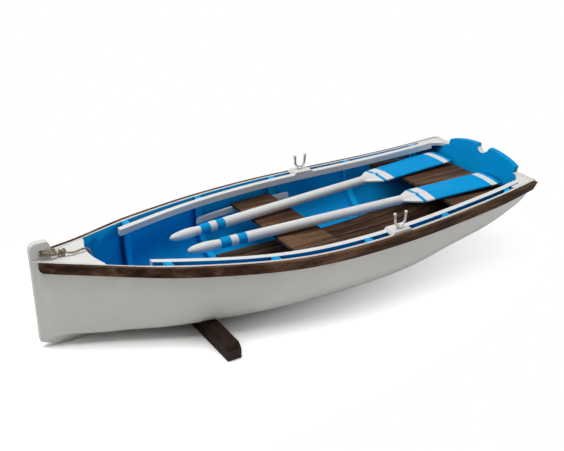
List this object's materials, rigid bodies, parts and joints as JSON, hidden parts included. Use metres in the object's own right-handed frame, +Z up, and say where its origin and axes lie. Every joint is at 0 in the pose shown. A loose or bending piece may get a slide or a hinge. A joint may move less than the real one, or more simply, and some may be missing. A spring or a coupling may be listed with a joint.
{
  "type": "wooden scale model rowing boat",
  "caption": "Wooden display model of an open rowing boat on a cross bar, with oars laid inside, rowlocks, floorboards, seats, rubbing rails and a rope painter.",
  "frame": {"origin": "centre of the bounding box on the floor under the keel", "axes": "+X to the bow along the boat, +Y to port, +Z up"},
  "size_m": [0.252, 0.103, 0.0494],
  "materials": {
    "white_paint": "satin white paint",
    "blue_paint": "satin blue paint",
    "walnut": "matt stained walnut",
    "dark_walnut": "matt dark walnut",
    "cast_metal": "bright cast white metal",
    "cord": "laid tan cord"
  },
  "bodies": {
    "boat": {"planking_port": "white_paint", "planking_starboard": "white_paint", "stem_post": "white_paint", "apron": "white_paint", "breasthook": "white_paint", "keel": "white_paint", "deadwood": "white_paint", "transom": "blue_paint", "rib_bow": "blue_paint", "rib_fore": "blue_paint", "rib_middle": "blue_paint", "rib_aft": "blue_paint", "rib_stern": "blue_paint", "inwale_port": "white_paint", "quarter_knee_port": "white_paint", "rub_rail_port": "walnut", "riser_port": "white_paint", "rowlock_block_port": "white_paint", "floorboard_port_1": "walnut", "floorboard_port_2": "walnut", "floorboard_port_3": "walnut", "inwale_starboard": "white_paint", "quarter_knee_starboard": "white_paint", "rub_rail_starboard": "walnut", "riser_starboard": "white_paint", "rowlock_block_starboard": "white_paint", "floorboard_starboard_1": "walnut", "floorboard_starboard_2": "walnut", "floorboard_starboard_3": "walnut", "thwart": "walnut", "stern_seat": "walnut", "stand_bar": "dark_walnut", "painter": "cord", "painter_loop": "cord", "painter_knot": "cord"},
    "rowlock_port": {"rowlock_port": "cast_metal"},
    "rowlock_starboard": {"rowlock_starboard": "cast_metal"},
    "oar_port": {"oar_port": "white_paint"},
    "oar_starboard": {"oar_starboard": "white_paint"}
  },
  "joints": [
    {"name": "rowlock_port_swivel", "type": "hinge", "parent": "boat", "child": "rowlock_port", "pos_m": [-0.03252, 0.04316, 0.036], "axis": [0, 0, 1], "continuous": true},
    {"name": "rowlock_starboard_swivel", "type": "hinge", "parent": "boat", "child": "rowlock_starboard", "pos_m": [-0.03252, -0.04316, 0.036], "axis": [0, 0, 1], "continuous": true},
    {"name": "oar_port_lift", "type": "slide", "parent": "boat", "child": "oar_port", "axis": [0, 0, 1], "range_m": [0, 0.06]},
    {"name": "oar_starboard_lift", "type": "slide", "parent": "boat", "child": "oar_starboard", "axis": [0, 0.6, 0.8], "range_m": [0, 0.03]}
  ]
}
